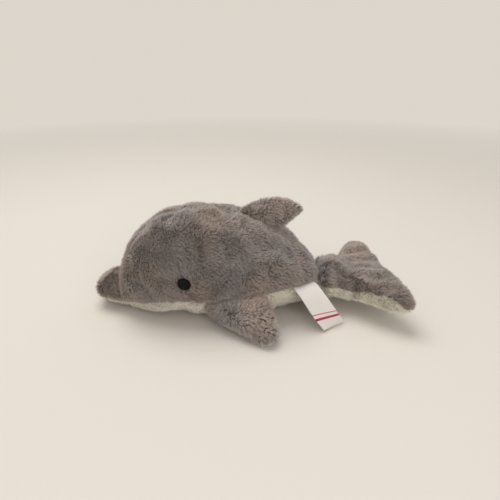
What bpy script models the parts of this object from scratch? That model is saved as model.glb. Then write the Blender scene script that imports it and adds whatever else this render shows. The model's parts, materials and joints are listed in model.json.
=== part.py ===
"""Plush dolphin lying on its belly, as the pieces it is sewn from. Metres, +Z up, nose towards -X.

The cloth pieces are thin shells round loose filling. The origin is on the surface that the toy lies on,
below the middle of the whole object.
"""

import math
from collections import namedtuple

import bmesh
import bpy
import numpy as np
from mathutils import Vector

# Cloth, seams and filling
CLOTH = 0.0040  # plush cloth, its pile included
SEAM_GAP = 0.0003  # between two pieces that meet at a seam
FILLING_GAP = 0.0005  # between the cloth and the filling
SEWN_GAP = 0.0003  # between the body and what is sewn on it
LEAST_FILLING = 0.0008  # half the filling's thickness where it ends inside a fin
MERGE = 0.000001  # points closer than this are one

# How the body is divided into faces
BODY_ROWS_PER_CUT = 3  # rows of faces from one cut to the next
SIDE_COLUMNS = 12  # from the back's middle down to the belly seam
BELLY_COLUMNS = 4  # from the belly seam to the belly's middle
UPPER_ROUNDNESS = 2.1  # a superellipse's exponent, 2 for an ellipse
LOWER_ROUNDNESS = 2.15

# Cuts through the body that follow one another from nose to tail. Each one has the place of its top and its
# low point in the middle plane, half its width, and the heights of its widest point and of the belly seam.
Cut = namedtuple("Cut", "top_x top_z low_x low_z half_width widest_z seam_z")
BODY = [
    Cut(-0.1302, 0.0140, -0.1302, 0.0136, 0.0002, 0.0138, 0.0137),
    Cut(-0.1292, 0.0196, -0.1285, 0.0078, 0.0084, 0.0135, 0.0105),
    Cut(-0.1262, 0.0236, -0.1250, 0.0046, 0.0128, 0.0132, 0.0090),
    Cut(-0.1200, 0.0276, -0.1185, 0.0030, 0.0165, 0.0132, 0.0080),
    Cut(-0.1125, 0.0308, -0.1100, 0.0022, 0.0190, 0.0138, 0.0080),
    Cut(-0.1066, 0.0326, -0.1030, 0.0015, 0.0204, 0.0150, 0.0086),
    Cut(-0.1034, 0.0392, -0.0968, 0.0006, 0.0240, 0.0180, 0.0096),
    Cut(-0.0990, 0.0502, -0.0905, -0.0004, 0.0285, 0.0225, 0.0110),
    Cut(-0.0932, 0.0608, -0.0836, -0.0012, 0.0332, 0.0272, 0.0132),
    Cut(-0.0838, 0.0708, -0.0748, -0.0020, 0.0376, 0.0320, 0.0165),
    Cut(-0.0706, 0.0786, -0.0630, -0.0025, 0.0412, 0.0358, 0.0192),
    Cut(-0.0550, 0.0834, -0.0480, -0.0025, 0.0435, 0.0380, 0.0196),
    Cut(-0.0360, 0.0853, -0.0320, -0.0025, 0.0443, 0.0388, 0.0202),
    Cut(-0.0170, 0.0833, -0.0140, -0.0025, 0.0441, 0.0382, 0.0232),
    Cut(0.0020, 0.0780, 0.0040, -0.0018, 0.0425, 0.0376, 0.0268),
    Cut(0.0190, 0.0702, 0.0200, -0.0006, 0.0390, 0.0352, 0.0290),
    Cut(0.0330, 0.0602, 0.0340, 0.0012, 0.0342, 0.0318, 0.0300),
    Cut(0.0440, 0.0495, 0.0450, 0.0028, 0.0292, 0.0278, 0.0295),
    Cut(0.0515, 0.0402, 0.0520, 0.0044, 0.0240, 0.0230, 0.0280),
    Cut(0.0555, 0.0338, 0.0555, 0.0058, 0.0202, 0.0194, 0.0250),
]

# Folds where the body's cloth is drawn in, on its left side and mirrored on its right: the two ends of each
# one, how deep it is, and how far it reaches to either side.
Fold = namedtuple("Fold", "start end depth reach")
FOLDS = [
    Fold((-0.1070, 0.0000, 0.0335), (-0.1062, -0.0210, 0.0200), 0.0020, 0.0036),  # behind the beak
    Fold((-0.0925, -0.0290, 0.0445), (-0.0755, -0.0380, 0.0270), 0.0016, 0.0050),  # cheek
    Fold((-0.0858, -0.0020, 0.0692), (-0.0662, -0.0300, 0.0662), 0.0016, 0.0060),  # forehead
    Fold((-0.0435, -0.0290, 0.0750), (-0.0430, -0.0420, 0.0540), 0.0022, 0.0055),  # above the eye
    Fold((-0.0405, -0.0110, 0.0845), (-0.0265, -0.0220, 0.0800), 0.0020, 0.0055),  # top of the back
    Fold((-0.0195, 0.0000, 0.0843), (-0.0135, -0.0190, 0.0790), 0.0015, 0.0055),  # before the dorsal fin
    Fold((-0.0215, -0.0315, 0.0720), (-0.0055, -0.0430, 0.0436), 0.0020, 0.0060),  # side
    Fold((-0.0365, -0.0438, 0.0357), (-0.0115, -0.0436, 0.0389), 0.0014, 0.0045),  # above the flipper
    Fold((0.0090, -0.0290, 0.0640), (0.0270, -0.0240, 0.0570), 0.0020, 0.0055),  # behind the dorsal fin
    Fold((0.0180, -0.0380, 0.0460), (0.0300, -0.0330, 0.0400), 0.0016, 0.0055),  # hind part of the side
    Fold((0.0410, -0.0170, 0.0490), (0.0430, -0.0290, 0.0340), 0.0018, 0.0045),  # gathered at the tail
]
FOLD_SWELL = 0.3  # share of a fold's depth that the cloth swells beside it
FOLD_SWELL_AT = 2.0  # the swelling's middle, in reaches from the fold's line
FOLD_ENDS_AT = 4.0  # nothing is moved from here on, in reaches
FLAT_TO_Z, FOLDED_FROM_Z = 0.004, 0.016  # the folds run out between these heights, as the belly rests flat
FOLDED_TO_X, FLAT_FROM_X = 0.046, 0.053  # and between these places, where the body is sewn to the tail

# Cuts through the tail behind the body's end, to the trailing edge of the flukes. Each one bends from its
# middle to its edge, the seam between the upper and the lower cloth, and rises and falls from there.
TailCut = namedtuple("TailCut", "middle_back edge_back half_width seam_z rise fall")
TAIL = [
    TailCut(0.0045, 0.0045, 0.0222, 0.0242, 0.0140, 0.0188),
    TailCut(0.0100, 0.0100, 0.0226, 0.0232, 0.0168, 0.0176),
    TailCut(0.0160, 0.0155, 0.0226, 0.0226, 0.0172, 0.0160),
    TailCut(0.0220, 0.0210, 0.0250, 0.0222, 0.0168, 0.0146),
    TailCut(0.0280, 0.0265, 0.0325, 0.0222, 0.0160, 0.0132),
    TailCut(0.0340, 0.0325, 0.0415, 0.0228, 0.0152, 0.0120),
    TailCut(0.0400, 0.0390, 0.0485, 0.0238, 0.0146, 0.0112),
    TailCut(0.0460, 0.0460, 0.0522, 0.0250, 0.0140, 0.0104),
    TailCut(0.0515, 0.0520, 0.0522, 0.0260, 0.0124, 0.0092),
    TailCut(0.0553, 0.0556, 0.0488, 0.0266, 0.0088, 0.0064),
    TailCut(0.0573, 0.0574, 0.0440, 0.0268, 0.0004, 0.0004),
]
TAIL_COLUMNS = 20
FLUKES_FROM, FLUKES_TO = 0.015, 0.045  # behind the body's end, the tail widens into the flukes here
FLUKE_SKEW = 0.16  # the left lobe lies further back than the right one, as the toy lies
LEFT_LOBE_LONGER = 0.0050  # and is drawn out further at its tip
LEFT_LOBE_FROM, LEFT_LOBE_TO = 0.12, 0.95  # from the middle outwards, over this share of its width
FLUKE_ROLL = 0.06  # and lower
STOCK_EXPONENT, FLUKE_EXPONENT = 2.0, 3.2  # round where the tail starts, flat over the flukes
FLUKE_BEND = 1.4  # how sharply a cut bends back from its middle
LOBE_DIP = 0.24  # share of the thickness lost between the two lobes
LOBE_DIP_Y, LOBE_DIP_WIDTH = 0.005, 0.011

# Cuts through a fin, from inside the body to its tip: the fin's front and rear edge and half its thickness.
FinCut = namedtuple("FinCut", "front rear half_thickness")
FIN_COLUMNS = 8
FIN_ROWS_PER_CUT = 2
FIN_EXPONENT = 2.4
TIP_DRAW = 6  # how late an inset fin starts to be shorter than the fin, as a power
FLIPPER = [
    FinCut((-0.0415, -0.0200, 0.0180), (0.0045, -0.0220, 0.0340), 0.0092),
    FinCut((-0.0385, -0.0330, 0.0145), (0.0100, -0.0345, 0.0278), 0.0100),
    FinCut((-0.0300, -0.0430, 0.0112), (0.0172, -0.0420, 0.0200), 0.0092),
    FinCut((-0.0186, -0.0515, 0.0086), (0.0212, -0.0485, 0.0134), 0.0072),
    FinCut((-0.0065, -0.0590, 0.0070), (0.0225, -0.0550, 0.0092), 0.0076),
    FinCut((0.0025, -0.0648, 0.0064), (0.0212, -0.0615, 0.0076), 0.0068),
    FinCut((0.0085, -0.0678, 0.0060), (0.0180, -0.0662, 0.0064), 0.0046),
    FinCut((0.0135, -0.0690, 0.0058), (0.0137, -0.0690, 0.0058), 0.0004),
]
FIN_LEAN = 0.12  # the back fin leans this much to the right for each unit of height
FIN_ROOT_Z = 0.075  # it leans from here
DORSAL_FIN = [
    FinCut((-0.0160, 0.0, 0.0650), (0.0260, 0.0, 0.0540), 0.0070),
    FinCut((-0.0145, 0.0, 0.0785), (0.0285, 0.0, 0.0660), 0.0070),
    FinCut((-0.0060, 0.0, 0.0873), (0.0330, 0.0, 0.0702), 0.0068),
    FinCut((0.0066, 0.0, 0.0922), (0.0378, 0.0, 0.0742), 0.0064),
    FinCut((0.0200, 0.0, 0.0938), (0.0413, 0.0, 0.0778), 0.0058),
    FinCut((0.0304, 0.0, 0.0920), (0.0439, 0.0, 0.0802), 0.0048),
    FinCut((0.0381, 0.0, 0.0888), (0.0444, 0.0, 0.0827), 0.0032),
    FinCut((0.0429, 0.0, 0.0858), (0.0431, 0.0, 0.0856), 0.0004),
]

# Eyes: stitched ovals on the sides of the head
EYE_X, EYE_Z = -0.0485, 0.0396
EYE_LONG, EYE_HIGH = 0.0110, 0.0102
EYE_PROUD = 0.0018  # above the cloth
EYE_DEEP = 0.0060  # half the depth of the ball that it is cut from

# Label: a folded ribbon sewn into the left belly seam
LABEL_WIDTH = 0.0210
RIBBON = 0.0005
LABEL_HOLLOW = 0.0006  # between the ribbon's two layers
LABEL_PATH = [  # its middle line, from inside the seam to its fold
    (0.0405, -0.0240, 0.0300),
    (0.0440, -0.0320, 0.0290),
    (0.0492, -0.0368, 0.0235),
    (0.0540, -0.0392, 0.0168),
    (0.0585, -0.0402, 0.0100),
    (0.0625, -0.0402, 0.0040),
    (0.0640, -0.0400, 0.0016),
]
LABEL_ROWS_PER_POINT = 2
LABEL_FOLD_ROWS = 5
LABEL_ACROSS_SEAM = (0.0210, 0.0040, -0.0020)  # the way its width runs, at the seam and at its fold
LABEL_ACROSS_FOLD = (0.0175, 0.0117, 0.0)

# Colour, roughness and metallic value of each finish
GREY_PLUSH = ("grey_plush", (0.215, 0.180, 0.165), 0.95)
WHITE_PLUSH = ("white_plush", (0.800, 0.745, 0.640), 0.95)
BLACK_THREAD = ("black_thread", (0.010, 0.010, 0.012), 0.55)
WHITE_RIBBON = ("white_ribbon", (0.860, 0.800, 0.790), 0.60)
POLYESTER_FIBRE = ("polyester_fibre", (0.900, 0.900, 0.880), 0.90)


def finish_of(name, colour, roughness):
    """The material of that name, made on its first use."""
    found = bpy.data.materials.get(name)
    if found is None:
        found = bpy.data.materials.new(name)
        found.use_nodes = True
        shader = found.node_tree.nodes["Principled BSDF"]
        shader.inputs["Base Color"].default_value = (*colour, 1.0)
        shader.inputs["Roughness"].default_value = roughness
        shader.inputs["Metallic"].default_value = 0.0
        found.diffuse_color = (*colour, 1.0)
    return found


def smooth_between(values, steps):
    """Rows of values with steps of a smooth curve through them between each two."""
    values = np.array(values, float)
    padded = np.vstack([2 * values[0] - values[1], values, 2 * values[-1] - values[-2]])
    rows = []
    for i in range(len(values) - 1):
        before, start, end, after = padded[i : i + 4]
        for step in range(steps):
            t = step / steps
            rows.append(
                0.5
                * (
                    2 * start
                    + (end - before) * t
                    + (2 * before - 5 * start + 4 * end - after) * t**2
                    + (3 * start - before - 3 * end + after) * t**3
                )
            )
    rows.append(values[-1])
    return np.array(rows)


def unit(vectors):
    length = np.linalg.norm(vectors, axis=-1, keepdims=True)
    return vectors / np.maximum(length, 1e-12)


def grid_triangles(index):
    """Two triangles for each cell of a grid of vertex numbers, cut the same way everywhere."""
    a, b, c, d = index[:-1, :-1], index[:-1, 1:], index[1:, 1:], index[1:, :-1]
    first = np.stack([a, b, c], -1).reshape(-1, 3)
    second = np.stack([a, c, d], -1).reshape(-1, 3)
    return np.vstack([first, second])


def add_object(name, points, triangles, finish):
    """A closed mesh object with its faces pointing out."""
    mesh = bpy.data.meshes.new(name)
    mesh.from_pydata([tuple(p) for p in points], [], [tuple(t) for t in triangles.tolist()])
    editable = bmesh.new()
    editable.from_mesh(mesh)
    bmesh.ops.remove_doubles(editable, verts=editable.verts, dist=MERGE)
    bmesh.ops.recalc_face_normals(editable, faces=editable.faces)
    if editable.calc_volume(signed=True) < 0:
        bmesh.ops.reverse_faces(editable, faces=editable.faces)
    editable.to_mesh(mesh)
    editable.free()
    mesh.shade_smooth()
    mesh.set_sharp_from_angle(angle=math.radians(50))
    mesh.materials.append(finish_of(*finish))
    made = bpy.data.objects.new(name, mesh)
    bpy.context.scene.collection.objects.link(made)
    return made


def shell_of(name, outer, inner, finish):
    """Cloth between two grids of points, closed along its four edges."""
    rows, columns = outer.shape[:2]
    outside = np.arange(rows * columns).reshape(rows, columns)
    inside = outside + rows * columns
    faces = [grid_triangles(outside), grid_triangles(inside)[:, ::-1]]
    for edge in (np.s_[0, :], np.s_[-1, :], np.s_[:, 0], np.s_[:, -1]):
        faces.append(grid_triangles(np.stack([outside[edge], inside[edge]])))
    points = np.vstack([outer.reshape(-1, 3), inner.reshape(-1, 3)])
    return add_object(name, points, np.vstack(faces), finish)


def loft_of(name, rings, finish):
    """A solid through closed rings of points, with a flat cap on its first and last ring."""
    rows, columns = rings.shape[:2]
    index = np.arange(rows * columns).reshape(rows, columns)
    index = np.hstack([index, index[:, :1]])
    points = np.vstack([rings.reshape(-1, 3), rings[0].mean(0), rings[-1].mean(0)])
    faces = [grid_triangles(index)]
    for ring, middle in ((index[0], len(points) - 2), (index[-1], len(points) - 1)):
        hub = np.full(columns, middle)
        faces.append(np.stack([ring[:-1], ring[1:], hub], -1))
    return add_object(name, points, np.vstack(faces), finish)


def cut_where_it_meets(target, body):
    """Takes the body, with its sewing gap, away from a piece that is sewn on it."""
    modifier = target.modifiers.new("sewn_edge", "BOOLEAN")
    modifier.operation = "DIFFERENCE"
    modifier.object = body


class Body:
    """The body's outer surface as a grid: rows from nose to tail, columns round from the back's middle."""

    def __init__(self):
        rows = smooth_between(BODY, BODY_ROWS_PER_CUT)
        self.points = np.array([self.ring(Cut(*row)) for row in rows])
        self.points[:, :, 2] = np.maximum(self.points[:, :, 2], 0.0)
        self.normals = self.outward()
        self.points = self.points - self.fold_depth()[..., None] * self.normals
        self.normals = self.outward()

    @staticmethod
    def seam_turn(cut):
        """How far round from the back's middle the belly seam lies."""
        tall = cut.top_z - cut.low_z
        widest, seam = (cut.widest_z - cut.low_z) / tall, (cut.seam_z - cut.low_z) / tall
        if seam < widest:
            share = np.clip((widest - seam) / widest, 0.0, 1.0)
            return math.pi / 2 + math.asin(share ** (LOWER_ROUNDNESS / 2))
        share = np.clip((seam - widest) / (1 - widest), 0.0, 1.0)
        return math.pi / 2 - math.asin(share ** (UPPER_ROUNDNESS / 2))

    def ring(self, cut):
        """Points round one cut: down the left side to the belly's middle, and up the right side."""
        seam = self.seam_turn(cut)
        side = np.linspace(0, seam, SIDE_COLUMNS + 1)
        belly = np.linspace(seam, math.pi, BELLY_COLUMNS + 1)[1:]
        left = [self.point(cut, turn, -1) for turn in (*side, *belly)]
        right = [self.point(cut, turn, 1) for turn in (*side, *belly)]
        return left + right[-2:0:-1]

    @staticmethod
    def point(cut, turn, side):
        tall = cut.top_z - cut.low_z
        widest = (cut.widest_z - cut.low_z) / tall
        angle = abs(turn - math.pi / 2)
        power = 2 / (UPPER_ROUNDNESS if turn < math.pi / 2 else LOWER_ROUNDNESS)
        out = cut.half_width * max(math.cos(angle), 0.0) ** power
        reach = math.sin(angle) ** power
        share = widest + (1 - widest) * reach if turn < math.pi / 2 else widest - widest * reach
        x = cut.low_x + share * (cut.top_x - cut.low_x)
        return (x, side * out, cut.low_z + share * tall)

    def outward(self):
        """The unit normal at each point, in the plane of the cut at the body's open end."""
        along = np.gradient(self.points, axis=0)
        around = np.roll(self.points, -1, axis=1) - np.roll(self.points, 1, axis=1)
        found = unit(np.cross(around, along))
        found[0] = (-1.0, 0.0, 0.0)
        found[-1] = np.cross(around[-1], (1.0, 0.0, 0.0))
        middle = self.points.mean(axis=1, keepdims=True)
        away = ((self.points - middle) * found).sum(-1)[1:].mean()
        found[1:] *= np.sign(away)
        return unit(found)

    def fold_depth(self):
        """How far the folds draw each point in."""
        depth = np.zeros(self.points.shape[:2])
        for fold in FOLDS:
            for side in (1, -1):
                start, way = np.array(fold.start), np.array(fold.end) - fold.start
                off = self.points * (1, side, 1) - start
                share = np.clip(off @ way / (way @ way), 0.0, 1.0)
                away = np.linalg.norm(off - share[..., None] * way, axis=-1) / fold.reach
                swell = FOLD_SWELL * np.exp(-((away - FOLD_SWELL_AT) ** 2))
                depth += np.where(away < FOLD_ENDS_AT, fold.depth * (np.exp(-(away**2)) - swell), 0.0)
        x, z = self.points[..., 0], self.points[..., 2]
        return depth * blend(z, FLAT_TO_Z, FOLDED_FROM_Z) * (1 - blend(x, FOLDED_TO_X, FLAT_FROM_X))

    def offset(self, distance):
        """The surface moved outwards by a distance."""
        return self.points + distance * self.normals

    def side_at(self, x, z):
        """The point of the left side nearest to a place seen from the left, and its normal."""
        half = SIDE_COLUMNS + BELLY_COLUMNS
        left, normals = self.points[:, : half + 1], self.normals[:, : half + 1]
        off = (left[..., 0] - x) ** 2 + (left[..., 2] - z) ** 2
        near = np.argsort(off.ravel())[:4]
        weight = 1 / np.sqrt(off.ravel()[near] + MERGE**2)
        weight /= weight.sum()
        y = (left[..., 1].ravel()[near] * weight).sum()
        normal = (normals.reshape(-1, 3)[near] * weight[:, None]).sum(0)
        return np.array([x, y, z]), unit(normal)


def columns_of(grid, first, last):
    """A strip of the body's columns, with half a seam's gap taken off its two long edges and its nose."""
    strip = grid[:, np.arange(first, last + 1) % grid.shape[1]].copy()
    for edge, beside in ((0, 1), (-1, -2)):
        strip[1:, edge] += SEAM_GAP / 2 * unit(strip[1:, beside] - strip[1:, edge])
    strip[0] = strip[0].mean(0) + SEAM_GAP * unit(strip[1].mean(0) - strip[0].mean(0))
    return strip


def make_body(body):
    seam = SIDE_COLUMNS
    belly_end = seam + 2 * BELLY_COLUMNS
    whole = belly_end + SIDE_COLUMNS
    inner = body.offset(-CLOTH)
    for name, first, last, finish in (
        ("side_panel_left", 0, seam, GREY_PLUSH),
        ("belly_panel", seam, belly_end, WHITE_PLUSH),
        ("side_panel_right", belly_end, whole, GREY_PLUSH),
    ):
        outer_strip = columns_of(body.points, first, last)
        shell_of(name, outer_strip, columns_of(inner, first, last), finish)
    loft_of("body_stuffing", body.offset(-CLOTH - FILLING_GAP), POLYESTER_FIBRE)
    clearance = loft_of("body_clearance", body.offset(SEWN_GAP), POLYESTER_FIBRE)
    clearance.hide_render = True
    clearance.display_type = "WIRE"
    return clearance


def blend(value, low, high):
    """0 below low, 1 above high, and a smooth rise between."""
    t = np.clip((value - low) / (high - low), 0.0, 1.0)
    return t * t * (3 - 2 * t)


def tail_rows():
    """The tail's cuts, with a first one that is the body's open end, and the place that they start from."""
    end = BODY[-1]
    first = TailCut(0.0, 0.0, end.half_width, end.seam_z, end.top_z - end.seam_z, end.seam_z - end.low_z)
    return [first, *TAIL], end.top_x + SEAM_GAP


def tail_surface(inset, up):
    """The tail's upper surface if up is 1, its lower one if up is -1, drawn in by an inset."""
    across = np.sin(np.linspace(-1, 1, TAIL_COLUMNS + 1) * math.pi / 2)
    cuts, start_x = tail_rows()
    rows = []
    for cut in cuts:
        flat = blend(cut.middle_back, FLUKES_FROM, FLUKES_TO)
        y = across * (cut.half_width - inset)
        bend = (cut.edge_back - cut.middle_back) * np.abs(across) ** FLUKE_BEND
        drawn_in = inset * blend(cut.middle_back, FLUKES_TO, cuts[-1].middle_back)
        drawn_out = LEFT_LOBE_LONGER * flat * blend(-across, LEFT_LOBE_FROM, LEFT_LOBE_TO)
        x = start_x + cut.middle_back + bend - drawn_in - FLUKE_SKEW * flat * y + drawn_out
        exponent = STOCK_EXPONENT + (FLUKE_EXPONENT - STOCK_EXPONENT) * flat
        dip = 1 - LOBE_DIP * flat * np.exp(-(((y - LOBE_DIP_Y) / LOBE_DIP_WIDTH) ** 2))
        tall = max((cut.rise if up > 0 else cut.fall) - inset, 0.0)
        height = tall * dip * (1 - np.abs(across) ** exponent) ** 0.5
        z = cut.seam_z + FLUKE_ROLL * flat * y + up * np.maximum(height, SEAM_GAP / 2)
        rows.append(np.stack([x, y, np.maximum(z, 0.0)], -1))
    return np.array(rows)


def solid_between(name, upper, lower, finish):
    """Filling between an upper and a lower grid that share the upper one's side edges."""
    rows, columns = upper.shape[:2]
    above = np.arange(rows * columns).reshape(rows, columns)
    below = above.copy()
    below[:, 1:-1] = above.size + np.arange(rows * (columns - 2)).reshape(rows, -1)
    ends = [grid_triangles(np.stack([above[end], below[end]])) for end in (0, -1)]
    faces = np.vstack([grid_triangles(above), grid_triangles(below)[:, ::-1], *ends])
    whole = (faces != np.roll(faces, 1, axis=1)).all(axis=1)
    points = np.vstack([upper.reshape(-1, 3), lower[:, 1:-1].reshape(-1, 3)])
    return add_object(name, points, faces[whole], finish)


def make_tail():
    shell_of("tail_upper_panel", tail_surface(0.0, 1), tail_surface(CLOTH, 1), GREY_PLUSH)
    shell_of("tail_lower_panel", tail_surface(0.0, -1), tail_surface(CLOTH, -1), WHITE_PLUSH)
    inset = CLOTH + FILLING_GAP
    thin = inset + LEAST_FILLING
    filled = sum(min(cut.rise, cut.fall) > thin for cut in tail_rows()[0])
    upper, lower = tail_surface(inset, 1)[:filled], tail_surface(inset, -1)[:filled]
    solid_between("tail_stuffing", upper, lower, POLYESTER_FIBRE)


def fin_surface(cuts, inset, up, side, lean=0.0):
    """One face of a fin, drawn in by an inset. Side -1 is the left one, and 1 mirrors it to the right."""
    across = np.sin(np.linspace(-1, 1, FIN_COLUMNS + 1) * math.pi / 2)
    rows = smooth_between([(*c.front, *c.rear, c.half_thickness) for c in cuts], FIN_ROWS_PER_CUT)
    front, rear, half = rows[:, :3], rows[:, 3:6], rows[:, 6]
    middle, reach = (front + rear) / 2, (rear - front) / 2
    wide = np.linalg.norm(reach, axis=1, keepdims=True)
    along = unit(np.gradient(middle, axis=0))
    normal = unit(np.cross(along, reach))
    drawn_in = np.maximum(wide - inset, MERGE) / wide
    middle = middle - along * inset * np.linspace(0, 1, len(rows))[:, None] ** TIP_DRAW
    flat = middle[:, None] + across[None, :, None] * (reach * drawn_in)[:, None]
    profile = (1 - np.abs(across) ** FIN_EXPONENT) ** 0.5
    height = np.maximum(half - inset, 0.0)[:, None] * profile[None, :]
    height = np.maximum(height, SEAM_GAP / 2)
    points = flat + up * height[..., None] * normal[:, None]
    points[..., 1] += lean * np.maximum(points[..., 2] - FIN_ROOT_Z, 0.0)
    points[..., 1] *= -side
    points[..., 2] = np.maximum(points[..., 2], 0.0)
    return points


def make_fin(cuts, names, finishes, side, lean, body):
    """A fin's two pieces of cloth and its filling, all cut where they meet the body."""
    made = []
    for name, up, finish in zip(names[:2], (1, -1), finishes):
        outer, inner = (fin_surface(cuts, inset, up, side, lean) for inset in (0.0, CLOTH))
        made.append(shell_of(name, outer, inner, finish))
    inset = CLOTH + FILLING_GAP
    half = smooth_between([(c.half_thickness,) for c in cuts], FIN_ROWS_PER_CUT)[:, 0]
    filled = int(np.sum(half > inset + LEAST_FILLING))
    faces = [fin_surface(cuts, inset, up, side, lean)[:filled] for up in (1, -1)]
    made.append(solid_between(names[2], *faces, POLYESTER_FIBRE))
    for piece in made:
        cut_where_it_meets(piece, body)


def make_fins(body):
    for word, side in (("left", -1), ("right", 1)):
        names = [f"flipper_{word}_{part}" for part in ("upper_panel", "lower_panel", "stuffing")]
        make_fin(FLIPPER, names, (GREY_PLUSH, WHITE_PLUSH), side, 0.0, body)
    names = [f"dorsal_fin_{part}" for part in ("right_panel", "left_panel", "stuffing")]
    make_fin(DORSAL_FIN, names, (GREY_PLUSH, GREY_PLUSH), -1, FIN_LEAN, body)


def make_eyes(body, clearance):
    """Each eye is the cap of a flattened ball that stands out of the cloth."""
    place, normal = body.side_at(EYE_X, EYE_Z)
    for word, side in (("left", 1), ("right", -1)):
        out = normal * (1, side, 1)
        centre = place * (1, side, 1) + out * (EYE_PROUD - EYE_DEEP)
        lengthwise = unit(np.cross((0, 0, 1.0), out))
        upright = unit(np.cross(out, lengthwise))
        mesh = bmesh.new()
        bmesh.ops.create_uvsphere(mesh, u_segments=20, v_segments=12, radius=1.0)
        swell = 1 / math.sqrt(1 - (1 - EYE_PROUD / EYE_DEEP) ** 2)
        for vertex in mesh.verts:
            x, y, z = vertex.co
            spread = lengthwise * x * EYE_LONG / 2 * swell + upright * y * EYE_HIGH / 2 * swell
            vertex.co = centre + spread + out * z * EYE_DEEP
        points = np.array([v.co[:] for v in mesh.verts])
        bmesh.ops.triangulate(mesh, faces=mesh.faces)
        triangles = np.array([[v.index for v in f.verts] for f in mesh.faces])
        mesh.free()
        eye = add_object(f"eye_{word}", points, triangles, BLACK_THREAD)
        cut_where_it_meets(eye, clearance)


def make_label(body):
    """A ribbon folded in two: out along its upper layer, round the fold and back along its lower layer."""
    path = smooth_between(LABEL_PATH, LABEL_ROWS_PER_POINT)
    share = np.linspace(0, 1, len(path))[:, None]
    across = unit((1 - share) * LABEL_ACROSS_SEAM + share * np.array(LABEL_ACROSS_FOLD))
    along = unit(np.gradient(path, axis=0))
    normal = unit(np.cross(across, along))
    if normal[:, 2].mean() < 0:
        normal = -normal
    far, near = RIBBON + LABEL_HOLLOW / 2, LABEL_HOLLOW / 2
    outside = [p + n * far for p, n in zip(path, normal)]
    inside = [p + n * near for p, n in zip(path, normal)]
    turn = np.linspace(0, math.pi, LABEL_FOLD_ROWS + 2)[1:-1]
    end, forward, up = path[-1], along[-1], normal[-1]
    outside += [end + far * (math.cos(a) * up + math.sin(a) * forward) for a in turn]
    inside += [end + near * (math.cos(a) * up + math.sin(a) * forward) for a in turn]
    outside += [p - n * far for p, n in zip(path[::-1], normal[::-1])]
    inside += [p - n * near for p, n in zip(path[::-1], normal[::-1])]
    widths = np.vstack([across, np.tile(across[-1], (len(turn), 1)), across[::-1]])
    grids = []
    for line in (np.array(outside), np.array(inside)):
        line[:, 2] = np.maximum(line[:, 2], SEAM_GAP)
        sides = [line + widths * LABEL_WIDTH * step for step in (-0.5, 0.0, 0.5)]
        grids.append(np.stack(sides, axis=1))
    label = shell_of("label", grids[0], grids[1], WHITE_RIBBON)
    cut_where_it_meets(label, body)


def place_origin():
    """Moves everything so that the middle of the whole object lies above the origin."""
    corners = np.array([o.matrix_world @ Vector(c) for o in bpy.data.objects for c in o.bound_box])
    middle = (corners.min(0) + corners.max(0)) / 2
    for made in bpy.data.objects:
        made.location.x -= middle[0]
        made.location.y -= middle[1]


def main():
    for old in list(bpy.data.objects):
        bpy.data.objects.remove(old)
    body = Body()
    clearance = make_body(body)
    make_tail()
    make_fins(clearance)
    make_eyes(body, clearance)
    make_label(clearance)
    place_origin()


main()
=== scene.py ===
"""Looks of the plush dolphin: stuffed skins, cut pile, stitched eyes, the sewn-in label and the stage."""

import json
import math
from collections import namedtuple

import bmesh
import bpy
import numpy as np
from bpy.props import FloatProperty, FloatVectorProperty, IntProperty, PointerProperty
from mathutils import Matrix, Vector, kdtree, noise
from mathutils.bvhtree import BVHTree

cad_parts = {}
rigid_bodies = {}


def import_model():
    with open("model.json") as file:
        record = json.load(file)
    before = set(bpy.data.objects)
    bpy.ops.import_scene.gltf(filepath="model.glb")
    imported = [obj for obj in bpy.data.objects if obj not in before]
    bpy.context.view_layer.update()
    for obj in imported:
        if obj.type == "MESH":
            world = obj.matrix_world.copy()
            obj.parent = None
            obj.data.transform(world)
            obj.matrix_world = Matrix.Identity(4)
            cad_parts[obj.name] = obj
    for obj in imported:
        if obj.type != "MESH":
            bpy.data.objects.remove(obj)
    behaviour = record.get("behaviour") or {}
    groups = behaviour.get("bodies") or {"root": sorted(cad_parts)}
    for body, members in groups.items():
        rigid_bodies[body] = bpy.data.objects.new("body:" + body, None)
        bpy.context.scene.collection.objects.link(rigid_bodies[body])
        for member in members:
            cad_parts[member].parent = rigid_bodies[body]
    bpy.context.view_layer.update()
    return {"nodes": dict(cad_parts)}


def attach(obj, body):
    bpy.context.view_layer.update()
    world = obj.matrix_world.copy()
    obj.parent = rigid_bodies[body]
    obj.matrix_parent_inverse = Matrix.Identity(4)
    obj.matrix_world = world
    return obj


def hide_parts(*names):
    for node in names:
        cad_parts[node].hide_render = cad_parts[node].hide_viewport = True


bl_info = {
    "name": "Plush Dolphin",
    "version": (1, 0, 0),
    "blender": (4, 5, 0),
    "location": "3D View > Sidebar > Dolphin",
    "description": "Makes the skins, pile, eyes, label and stage of a plush dolphin",
    "category": "Object",
}

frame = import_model()
PILE_MAP = "OFBake"  # across this map goes the shade of a tuft or thread, and up it the place along it

# Cloth that is pressed in along a line, and how deep and wide
Fold = namedtuple("Fold", "depth width line")
TAIL_FOLDS = (
    Fold(0.0036, 0.0034, ((0.0708, -0.010, 0.040), (0.0718, -0.019, 0.032), (0.0723, -0.023, 0.024))),
    Fold(0.0026, 0.0030, ((0.0663, 0.004, 0.041), (0.0673, 0.014, 0.037), (0.0678, 0.021, 0.029))),
    Fold(0.0020, 0.0034, ((0.0833, 0.016, 0.036), (0.0933, 0.020, 0.035), (0.1100, 0.021, 0.031))),
    Fold(0.0012, 0.0030, ((0.0903, -0.018, 0.034), (0.1033, -0.026, 0.032))),
    Fold(0.0010, 0.0030, ((0.0853, 0.002, 0.037), (0.0973, 0.004, 0.036), (0.1093, 0.004, 0.034))),
)
FOLD_SWELL, FOLD_SWELL_AT = 0.35, 2  # the cloth beside it rises by this share, so many widths off
SEAM_DEPTH, SEAM_WIDTH = 0.0009, 0.0022

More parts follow.
